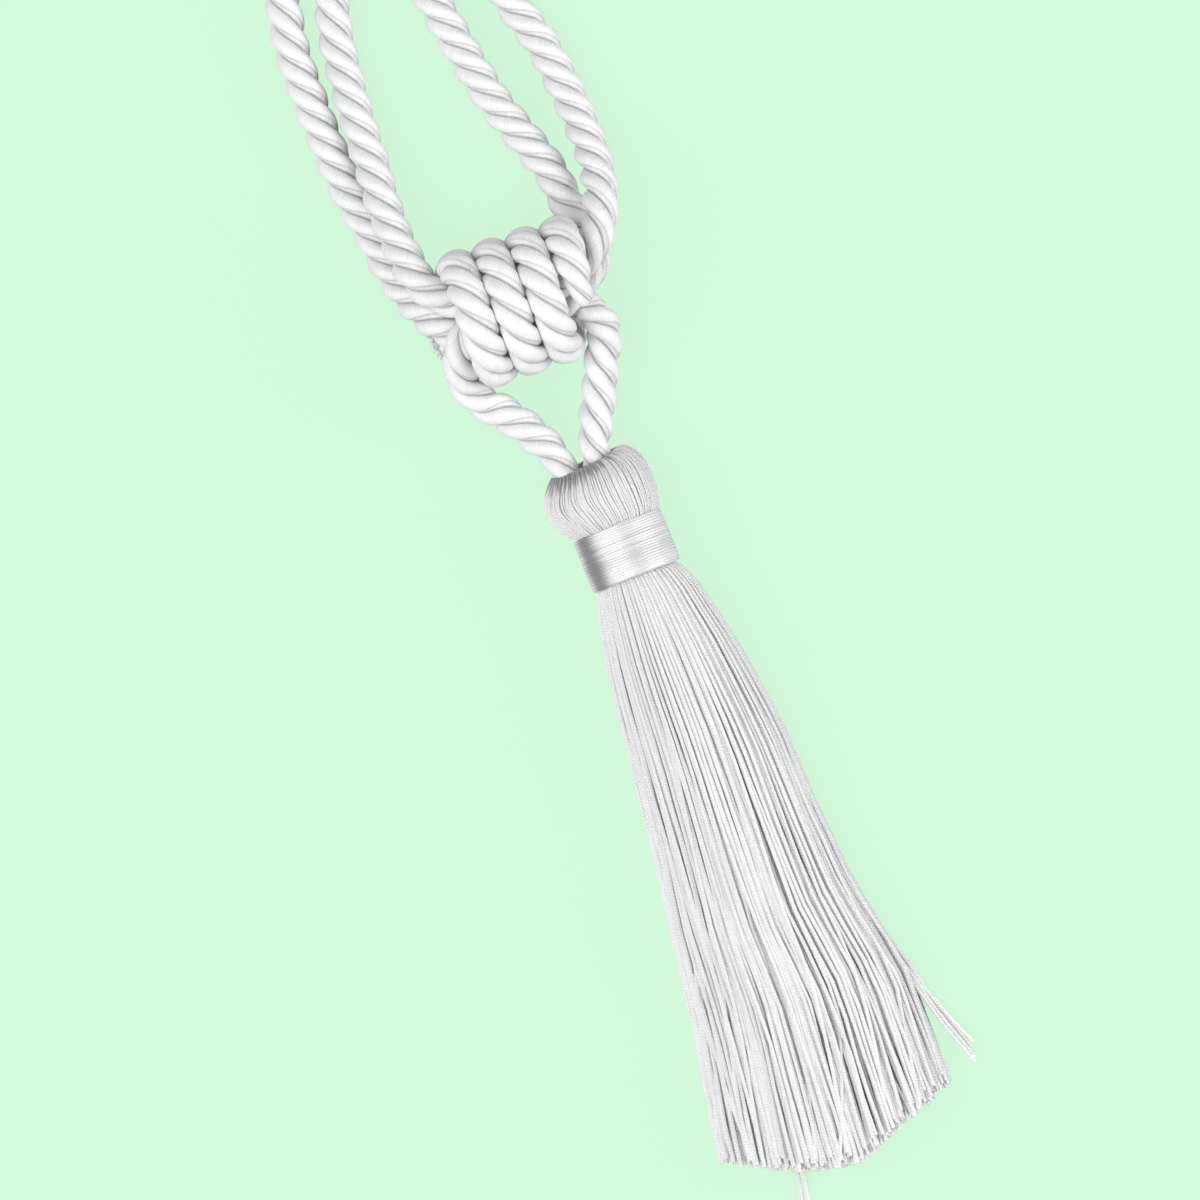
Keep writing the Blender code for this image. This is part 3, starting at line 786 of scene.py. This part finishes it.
# A few yarns part from the rest: which ones, where, and how far their ends move.
Stray = namedtuple("Stray", "across up yarns bend_y shift_x shift_y")
STRAYS = [Stray(0.98, -0.10, 5, -102.0, 8.4, 4.0), Stray(-0.34, -0.85, 2, -132.0, -2.6, -12.5)]
STRAY_BEND = 1.3                        # above 1, a yarn that parts does so in a curve


def sunflower(i, count):
    """Even places over a disc of radius 1."""
    radius = math.sqrt((i + 0.5) / count)
    return Vector((radius * math.cos(i * GOLDEN), radius * math.sin(i * GOLDEN)))


def strayed_yarns():
    """The numbers of the yarns that stray, and how."""
    found = {}
    for stray in STRAYS:
        spot = Vector((stray.across, stray.up))
        nearest = sorted(range(YARNS), key=lambda i: (sunflower(i, YARNS) - spot).length)
        found.update((i, stray) for i in nearest[:stray.yarns])
    return found


# %% The skirt's yarns
def skirt_yarn(number, draw, clumps, stray):
    """The spots and radii of one yarn, from inside the neck to its cut end."""
    home = sunflower(number, YARNS)
    clump = min(clumps, key=lambda c: (c - home).length)
    pull = draw.uniform(0.0, PULL)
    kind = STRAIGHT if stray else draw.choices(DRIFTS, DRIFT_WEIGHTS)[0]
    lift = kind.lift if home.y > 0.0 else 0.0
    drift = Vector((draw.gauss(0, kind.spread), draw.gauss(0, kind.spread)))
    phase = draw.uniform(0, 2 * math.pi)
    waves = draw.uniform(*WAVES)
    sway = draw.uniform(*SWAY) * MM
    last = home.lerp(clump, pull) + drift
    if last.length > 1.0:
        last.normalize()
    end = cut_y(last.x) + (draw.uniform(*CUT_UNEVEN) + CUT_SLOPE * last.y) * MM
    low = NECK_STATIONS[-1]
    stations = NECK_STATIONS + [low + (end - low) * (i + 1) / FREE_STATIONS
                                for i in range(FREE_STATIONS)]
    spots = []
    radii = []
    for y in stations:
        t = (NECK_STATIONS[0] - y) / (NECK_STATIONS[0] - end)
        at = home.lerp(clump, pull * t) + drift * t ** kind.late
        if at.length > 1.0:
            at.normalize()
        spot = skirt_point(at.x, at.y, y)
        spot.x += sway * t * math.sin(phase + waves * 2 * math.pi * t)
        spot.z += t * (lift + sway * math.cos(phase + waves * 2 * math.pi * t))
        if stray and y < stray.bend_y * MM:
            far = (y - stray.bend_y * MM) / (end - stray.bend_y * MM)
            spot.x += far ** STRAY_BEND * (stray.shift_x * MM + 2 * sway * math.sin(phase))
            spot.y += far * (stray.shift_y * MM + 2 * sway * math.cos(phase))
        at = section_at(y)
        radius = math.sqrt(YARN_FILL * (at.right - at.left) * at.height / YARNS) / 2
        spot.z = max(spot.z, CLEARANCE * radius)
        spots.append(spot)
        radii.append(radius)
    radii[-1] *= draw.uniform(*END_THICKNESS)
    return spots, radii


def skirt_drafts():
    """All the yarns, those of the upper half and of the lower half apart."""
    draw = random.Random(SEED)
    clumps = [sunflower(i, CLUMPS)
              + Vector((draw.gauss(0, CLUMP_UNEVEN), draw.gauss(0, CLUMP_UNEVEN)))
              for i in range(CLUMPS)]
    strayed = strayed_yarns()
    halves = {"upper": Draft(), "lower": Draft()}
    for i in range(YARNS):
        half = "upper" if sunflower(i, YARNS).y > 0.0 else "lower"
        add_yarn(halves[half], *skirt_yarn(i, draw, clumps, strayed.get(i)), i)
    return halves


for half, draft in skirt_drafts().items():
    skirt = draft.finish(f"skirt_yarns_{half}", tassel_yarn, "tassel_yarn")
    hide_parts("tassel")

# %% [markdown]
# ## The cut end of the wrapping rope
#
# At the lower left of the knot the wrapping rope ends in a plain cut, and its
# filaments stand out a little.  They are the same tubes as the yarns, only finer,
# set over the cut in the same sunflower pattern that fills the skirt.

# %% The fray at the cut end
FRAY = 64
FRAY_RADIUS = 0.16 * MM
FRAY_SPREAD = 3.3 * MM                  # the radius of the cut that they fill
FRAY_ROOT = 0.6 * MM                    # how deep in the cut they begin
FRAY_LENGTHS = (1.2, 2.2)               # in millimetres
FRAY_LEAN = 0.12
FRAY_BEND = 2.2
FRAY_STATIONS = (0.0, 0.35, 0.7, 1.0)
FRAY_NUMBER = YARNS + 200               # past the numbers of all other yarns


def fray_draft():
    """Short filaments that stand out of the cut, a little apart."""
    draw = random.Random(SEED + 2)
    draft = Draft()
    end, inside = (Vector(place[:3]) for place in FREE_END[:2])
    out = (end - inside).normalized()
    side = out.cross(Vector((0.0, 0.0, 1.0)))
    for i in range(FRAY):
        home = FRAY_SPREAD * sunflower(i, FRAY)
        start = end + home.x * side + Vector((0.0, 0.0, home.y)) - FRAY_ROOT * out
        shake = FRAY_LEAN * MM * Vector([draw.gauss(0.0, 1.0) for _ in "xyz"])
        lean = FRAY_LEAN * (start - end) + shake
        length = draw.uniform(*FRAY_LENGTHS) * MM
        spots = [start + length * t * out + FRAY_BEND * t * t * lean for t in FRAY_STATIONS]
        for spot in spots:
            spot.z = max(spot.z, CLEARANCE * FRAY_RADIUS)
        add_yarn(draft, spots, [FRAY_RADIUS] * len(spots), FRAY_NUMBER + i)
    return draft


fray_draft().finish("cut_end_tuft", tassel_yarn, "tassel_yarn")

# %% [markdown]
# ## The head
#
# Above the band the same yarns fold over a hidden tie.  They come up over the
# shoulder and turn in to a crease at the top, where the hanger enters.

# %% The head's shape
# Ring by ring, in millimetres: half its width, how far along the axis it is, half
# its height, and how far it lies from the axis, to the left.
HEAD_RINGS = (
    (8.2, 1.0, 8.2, 0.1), (8.9, 5.0, 8.8, 0.25), (10.3, 6.8, 9.6, 0.35),
    (11.3, 8.9, 10.6, 0.7), (12.2, 12.5, 11.2, 1.2), (12.3, 15.5, 11.2, 1.35),
    (11.6, 18.3, 10.4, 1.2), (10.2, 20.5, 8.8, 1.0), (8.6, 21.8, 6.9, 1.2),
    (7.4, 21.8, 5.4, 2.0), (6.8, 20.6, 4.4, 2.8), (6.4, 18.4, 3.8, 3.2),
    (6.0, 15.0, 3.4, 3.4))
# A Place has room for those four numbers, so the same curve reader serves here.
HEAD_STEP = 1.2 * MM
HEAD_CURVE, _ = even_steps(
    smooth_curve([Place(*(v * MM for v in ring)) for ring in HEAD_RINGS]), HEAD_STEP)
print(f"the head has {len(HEAD_CURVE)} rings, crease included")

TILT_LEFT = 0.13                        # the dome is lower on the left
TILT_FRONT = 0.25                       # and lower in front, so the crease opens upwards
TILT_SHARES = (0.3, 0.6)                # where on the outline the tilt sets in
HEAD_PRESSED = 0.80                     # the underside is pressed flatter
PRESSED_SHARES = (0.55, 0.85)           # where on the outline that ends


def head_point(turn, step, inset=0.0):
    """A place on the head: its turn round the axis, and its step up the outline."""
    ring = HEAD_CURVE[step]
    share = step / (len(HEAD_CURVE) - 1)
    x = (ring.x - inset) * math.cos(turn)
    z = (ring.z - inset) * math.sin(turn)
    slope = TILT_LEFT * min(x, 0.0) - TILT_FRONT * max(z, 0.0)
    along = ring.y + slope * blend_in(share, *TILT_SHARES)
    if z < 0.0:
        z *= HEAD_PRESSED + (1.0 - HEAD_PRESSED) * blend_in(share, *PRESSED_SHARES)
    return NECK_TURN @ Vector((x - ring.size, along, z)) + NECK_LIFT


# %% The head's core and yarns
HEAD_YARNS = 170
HEAD_FILL = 0.52                        # a yarn's radius, as a share of its room
HEAD_UNEVEN = 0.35                      # how far it is off its place, in yarns
HEAD_SKEW = 0.03                        # how far it slants, in radians
HEAD_WAVE = 0.25                        # how far it rises and sinks, in millimetres
HEAD_SWAY = 0.012                       # how far it sways, in radians
HEAD_WAVE_TURN, HEAD_SWAY_TURN = 7, 9   # radians of each wave from band to crease
HEAD_THICKNESS = (0.9, 1.15)
HEAD_LESS_FOLD_SHADE = 5.0 * MM               # so much less painted fold shade on the right, the lit side
CORE_TURNS = 48
CORE_INSET = 0.30 * MM


def head_draft():
    """A closed core, and yarns laid over it side by side."""
    draw = random.Random(SEED + 1)
    draft = Draft()
    steps = range(len(HEAD_CURVE))
    rings = [[head_point(-2 * math.pi * k / CORE_TURNS, step, CORE_INSET)
              for k in range(CORE_TURNS)] for step in steps]
    across = [YARNS + 0.5] * (CORE_TURNS + 1)
    along = [[HEAD_FIRST + step * MM] * (CORE_TURNS + 1) for step in steps]
    draft.tube(rings, across, along)
    for i in range(HEAD_YARNS):
        turn = 2 * math.pi * (i + draw.uniform(-HEAD_UNEVEN, HEAD_UNEVEN)) / HEAD_YARNS
        skew = draw.gauss(0.0, HEAD_SKEW)
        high = draw.uniform(-HEAD_WAVE, HEAD_WAVE) * MM
        sway = draw.uniform(0.0, HEAD_SWAY)
        phase = draw.uniform(0.0, 2 * math.pi)
        thick = HEAD_FILL * draw.uniform(*HEAD_THICKNESS)
        spots = []
        radii = []
        for step in steps:
            share = step / len(HEAD_CURVE)
            swayed = turn + skew * share + sway * math.sin(phase + HEAD_SWAY_TURN * share)
            inset = high * math.sin(phase + HEAD_WAVE_TURN * share)
            spots.append(head_point(swayed, step, inset))
            ring = HEAD_CURVE[step]
            room = 2 * math.pi * math.hypot(ring.x, ring.z) / math.sqrt(2) / HEAD_YARNS
            radii.append(thick * room)
        less_fold_shade = HEAD_LESS_FOLD_SHADE * max(0.0, math.cos(turn))
        add_yarn(draft, spots, radii, YARNS + i, HEAD_FIRST - less_fold_shade)
    return draft


head = head_draft().finish("head_yarns", tassel_yarn, "tassel_yarn")
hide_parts("tassel")

# %% [markdown]
# ## The band
#
# A silvery thread wound some twenty times round the neck, tight and shiny.  Its
# sheen leaves one dull line on the left, which is made part of the colour too.

# %% The band's material
band_satin, tree, shader, factor, across, along = satin_material(
    "band_satin", (0.85, 0.85, 0.855), (0.25, 0.25, 0.255),
    Roughness=0.4, Metallic=0.3, Specular_IOR_Level=0.6)
BAND_TURNS = 20
BAND_PITCH = 2 * BAND_HALF / BAND_TURNS
DULL_LINE = 0.40                        # where round the band, as a share of a turn
DULL_HALF = 0.07
TWIST_LINES = 84.0                      # how often the thread's twist shows in a turn
BAND_TONES = (0.76, 0.94)
BAND_SHADE = (-0.34, 0.06)
BAND_ROUGHNESS = (0.34, 0.46)

threads = place_group(tree, threads_group, across, along,
                      Thread_Width=BAND_PITCH, Slant=0.0, Unevenness=0.9)
twist = place_group(tree, threads_group, across, along,
                    Thread_Width=BAND_PITCH, Slant=TWIST_LINES, Unevenness=1.5)
shade = ramp(tree, threads["Tone"], 0.0, 1.0, *BAND_TONES)
for pattern in (threads, twist):
    shade = maths(tree, "ADD", shade, ramp(tree, pattern["Height"], 0.0, CREST, *BAND_SHADE))
away = maths(tree, "ABSOLUTE", maths(tree, "SUBTRACT", across, DULL_LINE))
dull = ramp(tree, away, 0.0, DULL_HALF, 1.0, 0.0)
tree.links.new(maths(tree, "SUBTRACT", shade, dull, clamp=True), factor)
tree.links.new(ramp(tree, threads["Tone"], 0.0, 1.0, *BAND_ROUGHNESS),
               shader.inputs["Roughness"])
bump(tree, shader, threads["Height"], 0.05 * MM, 0.5)

# %% The wound band
BAND_RADIUS = 9.95 * MM
BAND_WIDEN = 1.03                       # lying, it is pressed a touch wider
BAND_SHIFT = 0.25 * MM
BAND_INNER = 9.4 * MM
BAND_TOUCH = 0.05 * MM                  # the lowest that the band lies
RIM_DROP = 0.35 * MM                    # its rims are lower by this much
RIM_RISE = 12.0                         # and reach full height in 1/12 of its length
RIM_INSET = 0.1 * MM
WOBBLE = 0.10 * MM                      # the turns of thread aren't quite straight
WOBBLE_ALONG = 700
WOBBLE_ROUND = 3
THREAD_RISE = 0.11 * MM
THREAD_STEPS = 6
ROUND_STEPS = 96


def band_draft():
    """The band's wall: ridge after ridge along the axis, and a plain inside."""
    outline = [(-BAND_HALF + RIM_INSET, BAND_INNER)]
    for i in range(BAND_TURNS * THREAD_STEPS + 1):
        share = i / (BAND_TURNS * THREAD_STEPS)
        ridge = abs(math.sin(math.pi * i / THREAD_STEPS))
        rim = min(1.0, RIM_RISE * min(share, 1.0 - share))
        outline.append((-BAND_HALF + 2 * BAND_HALF * share,
                        BAND_RADIUS - RIM_DROP * (1 - rim) ** 2 + THREAD_RISE * ridge))
    outline.append((BAND_HALF - RIM_INSET, BAND_INNER))
    draft = Draft()
    for along, radius in outline:
        for k in range(ROUND_STEPS):
            turn = 2 * math.pi * k / ROUND_STEPS
            x, z = math.cos(turn), math.sin(turn)
            wobble = WOBBLE * noise.noise(
                Vector((along * WOBBLE_ALONG, WOBBLE_ROUND * x, WOBBLE_ROUND * z)))
            spot = Vector((BAND_WIDEN * radius * x - BAND_SHIFT, along + wobble, radius * z))
            spot = NECK_TURN @ spot + NECK_LIFT
            spot.z = max(spot.z, BAND_TOUCH)
            draft.points.append(spot)
    count = len(outline)
    for i in range(count):
        low, high = i * ROUND_STEPS, ((i + 1) % count) * ROUND_STEPS
        for k in range(ROUND_STEPS):
            nxt = (k + 1) % ROUND_STEPS
            draft.faces.append((low + k, high + k, high + nxt, low + nxt))
            u0, u1 = k / ROUND_STEPS, (k + 1) / ROUND_STEPS
            v0, v1 = outline[i][0], outline[(i + 1) % count][0]
            draft.corners += [(u0, v0), (u0, v1), (u1, v1), (u1, v0)]
    return draft


band = band_draft().finish("neck_band_threads", band_satin, "band_satin")
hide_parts("neck_band")

# %% [markdown]
# ## The surface and the light
#
# A flat pale green surface and soft white light: a broad light overhead, a little to
# the left, and a lower one on the right that shows the plies.  The surface glows by
# itself for the camera only, so that it stays even and doesn't tint the white rope.

# %% The surface
FLOOR_SIDE = 4.0
MINT = (0.651, 0.956, 0.701)
FLOOR_GLOW = 0.92                       # how strongly it glows for the camera
FLOOR_SHADE = 0.06                      # how much of its green takes the light as well
FLOOR_GREY = 0.6                        # what every other ray meets

floor_finish = bpy.data.materials.new("pale_surface")
floor_finish.use_nodes = True
tree = floor_finish.node_tree
shader = tree.nodes["Principled BSDF"]
shader.inputs["Roughness"].default_value = 0.9
shader.inputs["Specular IOR Level"].default_value = 0.1
path = tree.nodes.new("ShaderNodeLightPath")
colour = tree.nodes.new("ShaderNodeMix")
colour.data_type = "RGBA"
colour.inputs["A"].default_value = (FLOOR_GREY, FLOOR_GREY, FLOOR_GREY, 1.0)
colour.inputs["B"].default_value = (*(value * FLOOR_SHADE for value in MINT), 1.0)
tree.links.new(path.outputs["Is Camera Ray"], colour.inputs["Factor"])
tree.links.new(colour.outputs["Result"], shader.inputs["Base Color"])
shader.inputs["Emission Color"].default_value = (*MINT, 1.0)
tree.links.new(maths(tree, "MULTIPLY", path.outputs["Is Camera Ray"], FLOOR_GLOW),
               shader.inputs["Emission Strength"])

floor_mesh = bpy.data.meshes.new("pale_surface")
reach = FLOOR_SIDE / 2
floor_corners = [(-reach, -reach, 0), (reach, -reach, 0), (reach, reach, 0), (-reach, reach, 0)]
floor_mesh.from_pydata(floor_corners, [], [(0, 1, 2, 3)])
floor_mesh.materials.append(floor_finish)
surface = bpy.data.objects.new("pale_surface", floor_mesh)
bpy.context.scene.collection.objects.link(surface)


# %% The lights
def softbox(name, spot, size, watts):
    """A square light that faces the tieback."""
    data = bpy.data.lights.new(name, "AREA")
    data.size = size
    data.energy = watts
    made = bpy.data.objects.new(name, data)
    bpy.context.scene.collection.objects.link(made)
    made.location = spot
    made.rotation_euler = (-Vector(spot)).to_track_quat("-Z", "Y").to_euler()
    return made


softbox("light_right", spot=(1.10, -0.25, 0.65), size=1.2, watts=12.6)
softbox("light_overhead", spot=(-0.68, -0.05, 1.15), size=1.4, watts=19.2)

WORLD_STRENGTH = 0.27
world = bpy.data.worlds.new("soft_studio")
world.use_nodes = True
background = world.node_tree.nodes["Background"]
background.inputs["Color"].default_value = (1.0, 1.0, 1.0, 1.0)
background.inputs["Strength"].default_value = WORLD_STRENGTH
bpy.context.scene.world = world
bpy.context.scene.view_settings.view_transform = "Standard"
